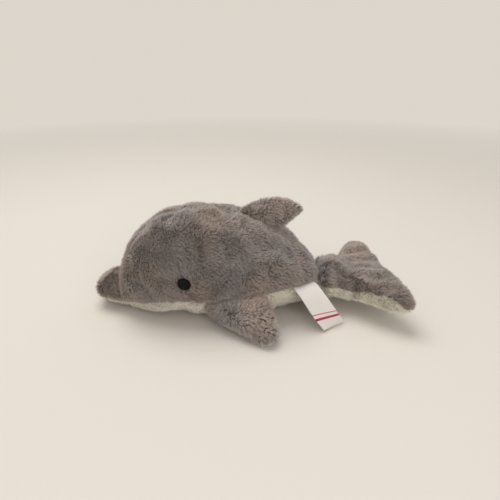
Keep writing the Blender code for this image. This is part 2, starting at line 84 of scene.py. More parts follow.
# The cloth is gathered where the tail is sewn to the body
TAIL_SEAM_X, TAIL_SEAM_Z = 0.0585, 0.022
PLEATS, PLEAT_HEIGHT, PLEAT_REACH = 13, 0.0010, 0.008
GATHER_DEPTH, GATHER_WIDTH = 0.0020, 0.0032

FLIPPER_FOLDS = (
    Fold(0.0030, 0.0034, ((-0.0249, -0.0470, 0.016), (-0.0133, -0.0538, 0.018), (-0.0024, -0.0564, 0.018))),
)
FLIPPER_HEART = (-0.0110, -0.0540, 0.0180)  # the pile of a flipper lies away from here
DORSAL_FOLDS = (Fold(0.0008, 0.0026, ((0.0033, -0.006, 0.080), (0.0193, -0.005, 0.077))),)

# How the filling pushes the cloth: the faces, the weight and the time of its simulation
SLACK_FACE, SLACK_WEIGHT, SLACK_FRAMES = 0.0042, 0.0005, 20

# The hollow that an eye is pulled into, how far round it is bare, and how deep its stitches sit
EYE_HOLLOW, EYE_HOLLOW_REACH, EYE_BARE, EYE_SUNK = 0.0018, 0.0085, 0.0038, 0.0016
WHITE_ROLLED = 0.0028  # the white cloth of the left fluke is rolled this far round to its upper side
GREY_ROLLED = 0.0014  # and the grey cloth of a flipper to its lower side

# The pile of each skin: its length, clumps and pull beside those of the settings, and how much lighter it is
Growth = namedtuple("Growth", "length clump pull lighter")
GROWTHS = {
    "body": Growth(1.0, 1.0, 1.0, 0.0),
    "flipper": Growth(1.1, 1.15, 1.25, 0.13),
    "dorsal": Growth(0.85, 1.0, 1.0, 0.24),
}
CLOSER = 0.84  # spacing on the fin, the flippers and the tail beside that of the body
LOWEST = 0.0003  # no pile is lower
SWIRL, SWIRLS = 0.85, ((60, 1.0), (130, 0.9))  # how far the nap strays, and how fine and strong each swirl is

# From how dark to how light the tufts are, and the cool and the warm cast of the light, painted as a tint
# that drifts in random patches over the pile
# The white shades start high: painted light, for the light that the floor throws up onto the belly
GREY_SHADES, FROSTED_SHADES, WHITE_SHADES = (0.66, 1.26), (0.44, 1.62), (0.90, 1.08)
GREY_LIGHT_CASTS = ((0.95, 1.0, 1.06), (1.05, 0.99, 0.94))
WHITE_LIGHT_CASTS = ((0.99, 1.0, 1.02), (1.0, 0.99, 0.96))

# The ribbon label's middle line, from inside the belly seam to its fold, and the way that its width runs
LABEL_LINE = (
    (0.0428, -0.0235, 0.0302),
    (0.0467, -0.0320, 0.0290),
    (0.0519, -0.0368, 0.0235),
    (0.0567, -0.0392, 0.0168),
    (0.0612, -0.0402, 0.0100),
    (0.0652, -0.0402, 0.0042),
    (0.0669, -0.0400, 0.0017),
)
LABEL_AT_SEAM = (0.0210, 0.0040, -0.0020)
LABEL_AT_FOLD = (0.0175, 0.0117, 0.0)
LABEL_WIDTH, LABEL_COLUMNS = 0.0210, 15
LABEL_CUP, LABEL_WAVE = 0.0007, 0.0004  # how far its edges curl, and how far it waves
RIBBON = 0.00030  # how thick it is
LABEL_HOLLOW = 0.0008  # between the ribbon's two layers
WARP, WEFT = 60, 230  # threads across and along the ribbon
WOVEN_LINES = ((0.105, 0.012), (0.150, 0.004))  # from the fold, and half as wide, as shares of its length

# The floor: how far it is flat, the round of its rim, and how far off it fades to the backdrop
FLOOR_REACH, FLOOR_RIM, FLOOR_WALL, FLOOR_SIDES = 1.3, 0.6, 1.1, 96
FADE_FROM, FADE_TO = 0.35, 1.30
# Each lamp's place, size, share of the key power and colour, and where they all point
LAMPS = {
    "overhead": ((-0.25, 0.25, 1.1), 0.9, 1.0, (1.0, 0.97, 0.93)),
    "front": ((0.35, -0.95, 0.45), 0.8, 0.46, (1.0, 0.96, 0.92)),
}
LIT = (0.0, 0.0, 0.03)


def a_length(name, description, default):
    return FloatProperty(name=name, description=description, default=default, unit="LENGTH")


def a_share(name, description, default):
    return FloatProperty(name=name, description=description, default=default, subtype="FACTOR")


def a_colour(name, description, default):
    return FloatVectorProperty(name=name, description=description, default=default, subtype="COLOR")


class ClothSettings(bpy.types.PropertyGroup):
    """The cloth below the pile."""

    inset: a_length("Inset", "From the solid's surface down to the cloth", 0.0030)
    fin_inset: a_length("Fin Inset", "The same on the flippers and the fin", 0.0024)
    face: a_length("Face", "Size of the cloth's faces", 0.0019)
    pressure: FloatProperty(name="Pressure", description="How hard the filling pushes", default=4.0)
    slack: a_share("Slack", "Share of cloth that is more than the filling needs", 0.06)
    most_swell: a_length("Most Swell", "Furthest that the filling may push the cloth", 0.0020)


class PileSettings(bpy.types.PropertyGroup):
    """The cut pile."""

    spacing: a_length("Spacing", "Between two tufts", 0.00041)
    length: a_length("Length", "Length of a tuft", 0.0037)
    radius: a_length("Radius", "Half the width of a tuft's foot", 0.00031)
    lean: a_share("Lean", "How far the nap lies over", 0.54)
    clump: a_length("Clump", "Size of a clump of tufts", 0.0021)
    pull: a_share("Pull", "How far tufts lean to their clump", 0.55)
    seed: IntProperty(name="Seed", description="Seed of the scatter", default=7)


class EyeSettings(bpy.types.PropertyGroup):
    """The embroidered eyes."""

    long: a_length("Long", "Length of an eye", 0.0098)
    high: a_length("High", "Height of an eye", 0.0098)
    bulge: a_length("Bulge", "Height of its padding", 0.0024)
    threads: IntProperty(name="Threads", description="Stitches side by side", default=25)
    thread: a_length("Thread", "Half a thread's thickness", 0.00024)


class ColourSettings(bpy.types.PropertyGroup):
    """The colours of cloth, thread and ribbon."""

    grey_tip: a_colour("Grey Tip", "Grey pile at its tips", (0.520, 0.455, 0.418))
    grey_frost: a_colour("Grey Frost", "Tips of the lightest grey tufts", (0.720, 0.650, 0.600))
    # painted shade: the roots are much darker than the tips, for the shade deep in the pile
    grey_root: a_colour("Grey Root", "Grey pile at its roots", (0.220, 0.187, 0.172))
    # painted light: the white pile is lighter than its cream, for the light that the floor throws up onto the
    # belly
    white_tip: a_colour("White Tip", "White pile at its tips", (0.960, 0.920, 0.830))
    white_frost: a_colour("White Frost", "Tips of the lightest white tufts", (0.95, 0.93, 0.88))
    # painted shade: the white roots are darker and warmer than the tips, for the shade deep in the pile
    white_root: a_colour("White Root", "White pile at its roots", (0.900, 0.835, 0.715))
    thread: a_colour("Thread", "Embroidery thread of the eyes", (0.0035, 0.0033, 0.004))
    ribbon: a_colour("Ribbon", "The label's ribbon", (0.800, 0.760, 0.745))
    woven_line: a_colour("Woven Line", "Lines woven into the label", (0.430, 0.030, 0.075))


class StageSettings(bpy.types.PropertyGroup):
    """Camera, lights and floor."""

    lens: FloatProperty(name="Lens", description="Focal length in millimetres", default=28.8)
    down: FloatProperty(
        name="Down", description="How far the camera looks down", default=math.radians(25), unit="ROTATION"
    )
    away: a_length("Away", "From the dolphin's middle to the camera", 0.2969)
    high: a_length("High", "The camera's height", 0.186)
    along: a_length("Along", "The camera's place along the dolphin", 0.0027)
    floor: a_colour("Floor", "Colour of the floor", (0.74, 0.70, 0.65))
    backdrop: a_colour("Backdrop", "How the camera sees the far floor", (0.72, 0.67, 0.60))
    ambient: FloatProperty(name="Ambient", description="Strength of the world's light", default=0.55)
    key: FloatProperty(name="Key", description="Power of the lamp overhead", default=7.7)


GROUPS = {
    "cloth": ClothSettings,
    "pile": PileSettings,
    "eyes": EyeSettings,
    "colours": ColourSettings,
    "stage": StageSettings,
}


def settings(name):
    return getattr(bpy.context.scene, "dolphin_" + name)


# Meshes

def vectors_of(items, key):
    found = np.empty(len(items) * 3, np.float32)
    items.foreach_get(key, found)
    return found.reshape(-1, 3).astype(float)


def places(mesh):
    return vectors_of(mesh.vertices, "co")


def outward(mesh):
    return vectors_of(mesh.vertex_normals, "vector")


def move_to(mesh, points):
    mesh.vertices.foreach_set("co", points.astype(np.float32).ravel())
    mesh.update()


def unit(vectors):
    return vectors / np.maximum(np.linalg.norm(vectors, axis=-1, keepdims=True), 1e-12)


def blend(value, low, high):
    """0 below low, 1 above high, and a smooth rise between."""
    t = np.clip((value - low) / (high - low), 0.0, 1.0)
    return t * t * (3 - 2 * t)


def linked(name, mesh):
    made = bpy.data.objects.new(name, mesh)
    mesh.name = name
    bpy.context.scene.collection.objects.link(made)
    return made


def as_evaluated(made):
    """Gives an object a plain mesh of what its modifiers make, and takes them off."""
    depsgraph = bpy.context.evaluated_depsgraph_get()
    seen = made.evaluated_get(depsgraph)
    mesh = bpy.data.meshes.new_from_object(seen, preserve_all_data_layers=True, depsgraph=depsgraph)
    old = made.data
    made.modifiers.clear()
    made.data = mesh
    bpy.data.meshes.remove(old)
    mesh.name = made.name
    return made


def tree_over(mesh):
    return BVHTree.FromPolygons([v.co for v in mesh.vertices], [tuple(p.vertices) for p in mesh.polygons])


def solid_of(nodes):
    """One mesh of the CAD nodes' own faces, merged."""
    merged = bmesh.new()
    for node in nodes:
        merged.from_mesh(frame["nodes"][node].data)
    bmesh.ops.remove_doubles(merged, verts=merged.verts, dist=1e-6)
    mesh = bpy.data.meshes.new("solid")
    merged.to_mesh(mesh)
    merged.free()
    return mesh


def tree_of(nodes):
    mesh = solid_of(nodes)
    tree = tree_over(mesh)
    bpy.data.meshes.remove(mesh)
    return tree


def distance_to(nodes, points):
    """How far points are from the surface of CAD nodes."""
    tree = tree_of(nodes)
    return np.array([tree.find_nearest(Vector(p))[3] for p in points])


def distance_to_line(points, line):
    """From each point to the nearest place on a line of straight parts."""
    best = np.full(len(points), np.inf)
    for start, end in zip(np.array(line[:-1]), np.array(line[1:])):
        way = end - start
        share = np.clip(((points - start) @ way) / (way @ way), 0.0, 1.0)
        best = np.minimum(best, np.linalg.norm(points - start - share[:, None] * way, axis=1))
    return best


def keep_largest(mesh):
    """Deletes all but the largest group of joined faces, such as the walls of a gap inside."""
    whole = bmesh.new()
    whole.from_mesh(mesh)
    left, groups = set(whole.verts), []
    while left:
        todo = [left.pop()]
        group = list(todo)
        while todo:
            for edge in todo.pop().link_edges:
                for end in edge.verts:
                    if end in left:
                        left.discard(end)
                        todo.append(end)
                        group.append(end)
        groups.append(group)
    groups.sort(key=len)
    bmesh.ops.delete(whole, geom=[v for group in groups[:-1] for v in group], context="VERTS")
    whole.to_mesh(mesh)
    whole.free()


def remeshed(made, size, smoothing, sink=0.0):
    """Gives an object even faces of one size, smoothed, and sunk below the old surface."""
    even = made.modifiers.new("even", "REMESH")
    even.mode = "VOXEL"
    even.voxel_size = size
    soft = made.modifiers.new("soft", "SMOOTH")
    soft.factor = 0.5
    soft.iterations = smoothing
    if sink:
        lower = made.modifiers.new("sunk", "DISPLACE")
        lower.mid_level = 0.0
        lower.strength = -sink
    as_evaluated(made)
    keep_largest(made.data)
    return made


def store(mesh, name, values):
    """Stores a number or a vector for each of a mesh's points."""
    values = np.asarray(values, np.float32)
    kind, key = ("FLOAT", "value") if values.ndim == 1 else ("FLOAT_VECTOR", "vector")
    mesh.attributes.new(name, kind, "POINT").data.foreach_set(key, values.ravel())


# Node trees

class Nodes:
    """Adds nodes to a tree and wires them by socket name or number."""

    def __init__(self, tree):
        self.tree = tree

    def wire(self, socket, value):
        if isinstance(value, bpy.types.NodeSocket):
            self.tree.links.new(value, socket)
        else:
            socket.default_value = value

    def add(self, kind, inputs=None, **facts):
        node = self.tree.nodes.new(kind)
        for key, value in facts.items():
            setattr(node, key, value)
        for key, value in (inputs or {}).items():
            self.wire(node.inputs[key], value)
        return node

    def out(self, kind, inputs=None, **facts):
        """Adds a node and gives its first output."""
        return self.add(kind, inputs, **facts).outputs[0]

    def math(self, operation, *values):
        return self.out("ShaderNodeMath", dict(enumerate(values)), operation=operation)

    def vector(self, operation, *values):
        node = self.add("ShaderNodeVectorMath", dict(enumerate(values)), operation=operation)
        return node.outputs["Value" if operation in ("DOT_PRODUCT", "LENGTH") else "Vector"]

    def scaled(self, vector, scale):
        inputs = {0: vector, "Scale": scale}
        return self.add("ShaderNodeVectorMath", inputs, operation="SCALE").outputs["Vector"]

    def xyz(self, x, y, z):
        return self.out("ShaderNodeCombineXYZ", {0: x, 1: y, 2: z})

    def parts(self, vector):
        return self.add("ShaderNodeSeparateXYZ", {0: vector}).outputs

    def ramp(self, value, low, high, start=0.0, end=1.0):
        inputs = {"Value": value, 1: low, 2: high, 3: start, 4: end}
        return self.add("ShaderNodeMapRange", inputs, clamp=True).outputs["Result"]

    def mix(self, factor, first, second):
        node = self.add("ShaderNodeMix", data_type="RGBA")
        for number, value in ((0, factor), (6, first), (7, second)):
            self.wire(node.inputs[number], value)
        return node.outputs[2]

    def chance(self, low, high, seed):
        """A random number for each element."""
        inputs = {2: low, 3: high, "Seed": seed}
        return self.add("FunctionNodeRandomValue", inputs, data_type="FLOAT").outputs[1]

    def stray(self, reach, seed):
        """A random vector for each element."""
        inputs = {0: (-reach,) * 3, 1: (reach,) * 3, "Seed": seed}
        return self.out("FunctionNodeRandomValue", inputs, data_type="FLOAT_VECTOR")

    def stored(self, name, kind):
        """What a mesh has stored under a name."""
        return self.out("GeometryNodeInputNamedAttribute", {"Name": name}, data_type=kind)

    def keep(self, geometry, name, value, kind="FLOAT", domain="POINT"):
        """Stores a value on a geometry under a name."""
        inputs = {"Geometry": geometry, "Name": name}
        node = self.add("GeometryNodeStoreNamedAttribute", inputs, data_type=kind, domain=domain)
        self.wire(node.inputs["Value"], value)
        return node.outputs[0]


def new_tree(name, inputs):
    """A geometry node tree from a mesh to a mesh: its nodes and the sockets of its named inputs."""
    tree = bpy.data.node_groups.new(name, "GeometryNodeTree")
    tree.interface.new_socket("Geometry", in_out="INPUT", socket_type="NodeSocketGeometry")
    for key, (kind, default) in inputs.items():
        socket = tree.interface.new_socket(key, in_out="INPUT", socket_type="NodeSocket" + kind)
        if default is not None:
            socket.default_value = default
    tree.interface.new_socket("Geometry", in_out="OUTPUT", socket_type="NodeSocketGeometry")
    nodes = Nodes(tree)
    return nodes, nodes.add("NodeGroupInput").outputs


def end_tree(nodes, geometry, material):
    """Ends a tree with plain geometry in one material."""
    real = nodes.out("GeometryNodeRealizeInstances", {0: geometry})
    real = nodes.out("GeometryNodeSetMaterial", {"Geometry": real, "Material": material})
    nodes.add("NodeGroupOutput", {0: real})
    return nodes.tree


def grown(made, tree, values):
    """Gives an object the result of a node tree for its mesh."""
    modifier = made.modifiers.new("grown", "NODES")
    modifier.node_group = tree
    names = {item.name: item.identifier for item in tree.interface.items_tree if item.in_out == "INPUT"}
    for key, value in values.items():
        modifier[names[key]] = value
    as_evaluated(made)
    mesh = made.data
    kept = (PILE_MAP, "material_index")
    for name in [a.name for a in mesh.attributes if not a.is_required and a.name not in kept]:
        mesh.attributes.remove(mesh.attributes[name])
    return made


def pile_tree():
    """Scatters tufts of pile over one cloth of a skin. A tuft is a slim closed spike with a bowed back."""
    n, given = new_tree(
        "Pile",
        {
            "Cloth": ("String", ""),
            "Spacing": ("Float", 0.0004),
            "Length": ("Float", 0.004),
            "Radius": ("Float", 0.0003),
            "Lean": ("Float", 0.6),
            "Clump": ("Float", 0.0025),
            "Pull": ("Float", 0.5),
            "Lowest": ("Float", 0.0003),
            "Lightness": ("Float", 0.0),
            "Seed": ("Int", 0),
            "Material": ("Material", None),
        },
    )
    dense = n.math("DIVIDE", 1.6, n.math("MULTIPLY", given["Spacing"], given["Spacing"]))
    scatter = {"Mesh": given["Geometry"], "Distance Min": given["Spacing"], "Density Max": dense}
    scatter["Seed"] = given["Seed"]
    spots = n.add("GeometryNodeDistributePointsOnFaces", scatter, distribute_method="POISSON")
    elsewhere = n.math("LESS_THAN", n.stored(given["Cloth"], "FLOAT"), 0.0)
    bare = n.math("GREATER_THAN", n.stored("bare", "FLOAT"), 0.5)
    left_out = {"Geometry": spots.outputs["Points"], "Selection": n.math("MAXIMUM", elsewhere, bare)}
    tufts = n.out("GeometryNodeDeleteGeometry", left_out, domain="POINT")

    place = n.out("GeometryNodeInputPosition")
    up = spots.outputs["Normal"]
    clumps = n.add("ShaderNodeTexVoronoi", {"Vector": place, "Scale": n.math("DIVIDE", 1.0, given["Clump"])})
    to_clump = n.vector("SUBTRACT", clumps.outputs["Position"], place)
    to_clump = n.scaled(to_clump, n.math("DIVIDE", given["Pull"], given["Length"]))
    nap = n.scaled(n.stored("nap", "FLOAT_VECTOR"), given["Lean"])
    sideways = n.vector("ADD", n.vector("ADD", to_clump, nap), n.stray(0.28, 3))
    sideways = n.vector("SUBTRACT", sideways, n.scaled(up, n.vector("DOT_PRODUCT", sideways, up)))
    rise = n.math("SUBTRACT", 1.15, given["Lean"])
    way = n.vector("ADD", sideways, n.scaled(up, n.math("ADD", rise, n.chance(-0.15, 0.15, 4))))
    turned = n.out("FunctionNodeAlignRotationToVector", {"Vector": way}, axis="Z")
    back = {"Rotation": turned, "Vector": n.vector("ADD", up, n.stray(0.8, 5))}
    turned = n.out("FunctionNodeAlignRotationToVector", back, axis="Y", pivot_axis="Z")

    tone = n.parts(clumps.outputs["Color"])[0]
    # painted sheen: tufts are lighter or darker in patches, for the light that brushed pile throws back by
    # the way it lies
    sheen_patches = n.out("ShaderNodeTexNoise", {"Vector": place, "Scale": 70.0, "Detail": 2.0})
    shade = n.math("ADD", n.math("MULTIPLY", n.chance(0.0, 1.0, 11), 0.34), n.math("MULTIPLY", tone, 0.30))
    shade = n.math("ADD", shade, n.ramp(sheen_patches, 0.35, 0.65, 0.04, 0.30))
    shade = n.math("ADD", shade, given["Lightness"])
    tufts = n.keep(tufts, "shade", shade)
    tall = n.math("MULTIPLY", given["Length"], n.chance(0.72, 1.18, 13))

    cone = {"Vertices": 3, "Side Segments": 1, "Radius Top": 0.0, "Radius Bottom": 1.0, "Depth": 1.0}
    spike = n.out("GeometryNodeMeshCone", cone)
    x, y, z = n.parts(n.out("GeometryNodeInputPosition"))
    across = n.math("MULTIPLY", y, -1.15)
    high = n.math("ADD", z, n.math("MULTIPLY", n.math("MAXIMUM", x, 0.0), 0.45))
    spike = n.keep(spike, "across", across)
    spike = n.keep(spike, "high", high)
    bowed = n.xyz(across, n.math("ADD", n.math("MULTIPLY", x, 0.8), 0.1), high)
    spike = n.out("GeometryNodeSetPosition", {"Geometry": spike, "Position": bowed})
    spike = n.out("GeometryNodeSetShadeSmooth", {0: spike})

    size = n.xyz(given["Radius"], given["Radius"], tall)
    tuft = {"Points": tufts, "Instance": spike, "Rotation": turned, "Scale": size}
    pile = n.out("GeometryNodeInstanceOnPoints", tuft)
    pile = n.out("GeometryNodeRealizeInstances", {0: pile})
    x, y, z = n.parts(n.out("GeometryNodeInputPosition"))
    above = n.xyz(x, y, n.math("MAXIMUM", z, given["Lowest"]))
    pile = n.out("GeometryNodeSetPosition", {"Geometry": pile, "Position": above})
    aside = n.math("MULTIPLY", n.stored("across", "FLOAT"), 0.0015)
    spot = n.xyz(n.math("ADD", n.stored("shade", "FLOAT"), aside), n.stored("high", "FLOAT"), 0.0)
    pile = n.keep(pile, PILE_MAP, spot, "FLOAT2", "CORNER")
    return end_tree(n, pile, given["Material"])


# Finishes

def new_finish(name, roughness, specular=0.5):
    """A material with its nodes and its Principled shader."""
    made = bpy.data.materials.new(name)
    made.use_nodes = True
    shader = made.node_tree.nodes["Principled BSDF"]
    shader.inputs["Roughness"].default_value = roughness
    shader.inputs["Specular IOR Level"].default_value = specular
    return made, Nodes(made.node_tree), shader


def pile_shade():
    """A group that colours each tuft from its root, darkened with painted shade, to its tip, by the shade and
    the height that its map holds.
    """
    group = bpy.data.node_groups.new("Pile Shade", "ShaderNodeTree")
    for key in ("Root", "Tip", "Frost", "Cool", "Warm"):
        group.interface.new_socket(key, in_out="INPUT", socket_type="NodeSocketColor")
    for key in ("Darkest", "Lightest"):
        group.interface.new_socket(key, in_out="INPUT", socket_type="NodeSocketFloat")
    group.interface.new_socket("Color", in_out="OUTPUT", socket_type="NodeSocketColor")
    n = Nodes(group)
    given = n.add("NodeGroupInput").outputs
    shade, high, _ = n.parts(n.out("ShaderNodeUVMap", uv_map=PILE_MAP))
    # painted shade: each tuft darkens from its tip down to its root
    colour = n.mix(n.ramp(high, 0.0, 0.85), given["Root"], given["Tip"])
    frosted = n.math("MULTIPLY", n.ramp(high, 0.70, 1.0), n.ramp(shade, 0.45, 1.0))
    colour = n.mix(frosted, colour, given["Frost"])
    place = n.add("ShaderNodeTexCoord").outputs["Object"]
    # painted light: random patches tinted with the cool and the warm cast of the light
    light_tint = n.out("ShaderNodeTexNoise", {"Vector": place, "Scale": 24.0, "Detail": 1.0})
    colour = n.vector("MULTIPLY", colour, n.mix(n.ramp(light_tint, 0.35, 0.65), given["Cool"], given["Warm"]))
    light = n.ramp(shade, 0.0, 1.0, given["Darkest"], given["Lightest"])
    n.add("NodeGroupOutput", {0: n.scaled(colour, light)})
    return group


def pile_finish(name, group, colours, shades):
    """Pile in the colours of its root with painted shade, its tip, the tip of a light tuft and the cool and
    warm cast of painted light tint that it drifts between, and as dark and light as shades say."""
    made, n, shader = new_finish(name, 0.9, 0.15)
    shader.inputs["Sheen Weight"].default_value = 0.2
    shader.inputs["Sheen Roughness"].default_value = 0.5
    shaded = n.add("ShaderNodeGroup", node_tree=group)
    for key, colour in zip(("Root", "Tip", "Frost", "Cool", "Warm"), colours):
        shaded.inputs[key].default_value = (*colour, 1.0)
    for key, value in zip(("Darkest", "Lightest"), shades):
        shaded.inputs[key].default_value = value
    n.wire(shader.inputs["Base Color"], shaded.outputs[0])
    return made


def ground_finish(grey, white):
    """The knitted ground of the cloth, grey or white as the skin has stored, in the root colours with their
    painted shade.
    """
    made, n, shader = new_finish("plush_ground", 0.95, 0.1)
    where = n.add("ShaderNodeAttribute", attribute_name="white", attribute_type="GEOMETRY").outputs["Fac"]
    place = n.add("ShaderNodeTexCoord").outputs["Object"]
    knit = n.out("ShaderNodeTexNoise", {"Vector": place, "Scale": 900.0, "Detail": 2.0})
    colour = n.mix(where, (*grey, 1.0), (*white, 1.0))
    n.wire(shader.inputs["Base Color"], n.scaled(colour, n.ramp(knit, 0.3, 0.7, 0.75, 1.1)))
    bump = n.out("ShaderNodeBump", {"Strength": 0.4, "Distance": 0.0003, "Height": knit})
    n.wire(shader.inputs["Normal"], bump)
    return made


# Skins

class Skin:
    """A closed cloth skin below the surface of its CAD nodes."""

    def __init__(self, name, panels, fillings, inset, sewn_to=()):
        self.panels = panels
        face = settings("cloth").face
        self.made = linked(name, solid_of([*panels, *fillings]))
        if sewn_to:
            self.reach_into(sewn_to)
        remeshed(self.made, face * 0.65, 6, inset)
        remeshed(self.made, face, 5)
        self.mesh = self.made.data
        points = places(self.mesh)
        self.far = np.array([distance_to([panel], points) for panel in panels])
        nearest = np.sort(self.far, axis=0)
        self.seam = nearest[1] - nearest[0]
        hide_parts(*panels, *fillings)

    def fold(self, folds):
        """Presses the folds and seams into the skin, and lets the cloth swell a little beside each fold."""
        points, normals = places(self.mesh), outward(self.mesh)
        depth = SEAM_DEPTH * np.exp(-((self.seam / SEAM_WIDTH) ** 2))
        for one in folds:
            away = distance_to_line(points, one.line) / one.width
            swell = FOLD_SWELL * np.exp(-((away - FOLD_SWELL_AT) ** 2))
            depth += one.depth * (np.exp(-(away**2)) - swell)
        move_to(self.mesh, points - depth[:, None] * normals)
        on_ground = 1 - blend(points[:, 2], 0.003, 0.008)
        self.held = np.maximum(1 - blend(self.seam, 0.0008, 0.005), on_ground)
        for one in folds:
            away = distance_to_line(points, one.line)
            self.held = np.maximum(self.held, 1 - blend(away, one.width, 2.5 * one.width))

    def gather(self, x, z):
        """Draws the cloth into small pleats round the seam between body and tail."""
        points = places(self.mesh)
        turn = np.arctan2(points[:, 1], points[:, 2] - z)
        off = points[:, 0] - x
        pleat = np.cos(PLEATS * turn + 2.0 * np.sin(2 * turn)) * np.exp(-((off / PLEAT_REACH) ** 2))
        hollow = np.exp(-((off / GATHER_WIDTH) ** 2))
        height = (PLEAT_HEIGHT * pleat - GATHER_DEPTH * hollow) * blend(points[:, 2], 0.006, 0.018)
        move_to(self.mesh, points + height[:, None] * outward(self.mesh))

    def stuff(self):
        """Lets the filling push the slack cloth out between its seams and folds."""
        cloth = settings("cloth")
        copy = linked("slack", self.mesh.copy())
        remeshed(copy, SLACK_FACE, 1)
        before = places(copy.data)
        held = self.held[self.nearby(places(self.mesh), before, 1)[0][:, 0]]
        pins = copy.vertex_groups.new(name="held")
        for i, weight in enumerate(held):
            pins.add([i], float(weight), "REPLACE")
        filling = copy.modifiers.new("filling", "CLOTH")
        sim = filling.settings
        sim.quality = 6
        sim.mass = SLACK_WEIGHT
        sim.vertex_group_mass = "held"
        sim.use_pressure = True
        sim.uniform_pressure_force = cloth.pressure
        sim.shrink_min = -cloth.slack
        sim.effector_weights.gravity = 0.0
        filling.collision_settings.use_collision = False
        filling.point_cache.frame_start, filling.point_cache.frame_end = 1, SLACK_FRAMES
        for step in range(1, SLACK_FRAMES + 1):
            bpy.context.scene.frame_set(step)
        as_evaluated(copy)
        bpy.context.scene.frame_set(1)
        swell = places(copy.data) - before
        far = np.linalg.norm(swell, axis=1, keepdims=True)
        swell *= np.minimum(1.0, cloth.most_swell / np.maximum(far, 1e-12))
        found, away = self.nearby(before, places(self.mesh), 4)
        weight = 1 / (away**2 + 1e-8)
        weight /= weight.sum(1, keepdims=True)
        move_to(self.mesh, places(self.mesh) + (swell[found] * weight[..., None]).sum(1))
        bpy.data.objects.remove(copy)

    @staticmethod
    def nearby(among, points, count):
        """The numbers of the nearest places to each point, and how far they are."""
        tree = kdtree.KDTree(len(among))
        for i, place in enumerate(among):
            tree.insert(place, i)
        tree.balance()
        found = np.array([[near[1:] for near in tree.find_n(point, count)] for point in points])
        return found[..., 0].astype(int), found[..., 1]

    def reach_into(self, nodes):
        """Lengthens the end that is sewn to these nodes so far that it ends below their own skin."""
        cloth = settings("cloth")
        tree = tree_of(nodes)
        for vertex in self.made.data.vertices:
            place, _, _, far = tree.find_nearest(vertex.co)
            if far < 0.0008:
                vertex.co += (place - vertex.co).normalized() * (2 * cloth.inset + 0.003)

    def below(self, other):
        """1 for the points that are below another skin, and 0 for the rest."""
        tree = tree_over(other)
        found = [(Vector(p), *tree.find_nearest(Vector(p))[:2]) for p in places(self.mesh)]
        return np.array([float((point - place).dot(way) < 0) for point, place, way in found])

    def brush(self, nap, bare, rolled):
        """Stores what the pile needs: where each cloth is, which way its nap lies and what is bare. The lower
        cloth is rolled this far round to the upper side."""
        points = places(self.mesh)
        noise.seed_set(settings("pile").seed)  # or it would differ from run to run
        swirl = 0.0
        for fine, strong in SWIRLS:
            swirl += strong * np.array([noise.noise_vector(Vector(p) * fine) for p in points])
        store(self.mesh, "nap", unit(nap) + SWIRL * swirl)
        store(self.mesh, "bare", bare)
        white = np.zeros(len(points))
        for number, panel in enumerate(self.panels):
            self.far[number] += rolled * (("upper" in panel) - float("lower" in panel))
        for number, panel in enumerate(self.panels):
            others = np.delete(self.far, number, axis=0).min(0)
            store(self.mesh, panel, others - self.far[number])
            if is_white(panel):
                white = np.maximum(white, blend(others - self.far[number], -0.0005, 0.0005))
        store(self.mesh, "white", white)


def is_white(panel):
    return "belly" in panel or "lower" in panel


def eye_places():
    """The middle of each eye on the body's surface, and the way out of the body there."""
    found = []
    for word in ("left", "right"):
        points = places(frame["nodes"]["eye_" + word].data)
        middle = (points.min(0) + points.max(0)) / 2
        place, way, _, _ = tree_of(["side_panel_" + word]).find_nearest(Vector(middle))
        way = Vector((way.x, way.y, way.z))
        if way.y * middle[1] < 0:
            way.negate()
        found.append((word, place, way.normalized()))
    return found


def along_the_body(points):
    """The nap lies back from the nose, and a little down the sides."""
    return np.array([(1.0, 0.0, -0.22)]) + 0.25 * points * (0, 1, 0) / 0.04


def make_skins():
    cloth = settings("cloth")
    colours = settings("colours")
    ground = ground_finish(colours.grey_root, colours.white_root)
    skins = []

    body = Skin(
        "body_skin",
        ["side_panel_left", "side_panel_right", "belly_panel", "tail_upper_panel", "tail_lower_panel"],
        ["body_stuffing", "tail_stuffing"],
        cloth.inset,
    )
    body.fold(TAIL_FOLDS)
    body.gather(TAIL_SEAM_X, TAIL_SEAM_Z)
    body.stuff()
    points, normals = places(body.mesh), outward(body.mesh)
    bare = np.zeros(len(points))
    for _, middle, _ in eye_places():
        away = np.linalg.norm(points - middle, axis=1)
        points -= normals * (EYE_HOLLOW * np.exp(-((away / EYE_HOLLOW_REACH) ** 2)))[:, None]
        bare = np.maximum(bare, away < EYE_BARE)
    move_to(body.mesh, points)
    rolled = WHITE_ROLLED * blend(points[:, 0], 0.082, 0.096) * blend(-points[:, 1], 0.010, 0.030)
    rolled *= 1 - 1.5 * blend(points[:, 0], 0.108, 0.124)
    body.brush(along_the_body(points), bare, rolled)
    skins.append((body, 0.85))

    for word, side in (("left", 1), ("right", -1)):
        flipper = Skin(
            f"flipper_{word}_skin",
            [f"flipper_{word}_upper_panel", f"flipper_{word}_lower_panel"],
            [f"flipper_{word}_stuffing"],
            cloth.fin_inset,
            ["side_panel_" + word, "belly_panel"],
        )
        folds = [Fold(f.depth, f.width, [(x, y * side, z) for x, y, z in f.line]) for f in FLIPPER_FOLDS]
        flipper.fold(folds)
        flipper.stuff()
        x, y, z = FLIPPER_HEART
        nap = unit(places(flipper.mesh) - (x, y * side, z)) + 0.5 * np.array([(0.75, -0.75 * side, -0.30)])
        flipper.brush(nap, flipper.below(body.mesh), -GREY_ROLLED)
        skins.append((flipper, 0.75))

    fin = Skin(
        "dorsal_fin_skin",
        ["dorsal_fin_left_panel", "dorsal_fin_right_panel"],
        ["dorsal_fin_stuffing"],
        cloth.fin_inset,
        ["side_panel_left", "side_panel_right"],
    )
    fin.fold(DORSAL_FOLDS)
    fin.stuff()
    fin.brush(np.array([(0.95, 0.0, 0.25)]), fin.below(body.mesh), 0.0)
    skins.append((fin, 0.8))

    for skin, fill in skins:
        skin.mesh.shade_smooth()
        skin.mesh.materials.clear()
        skin.mesh.materials.append(ground)
        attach(skin.made, "root")


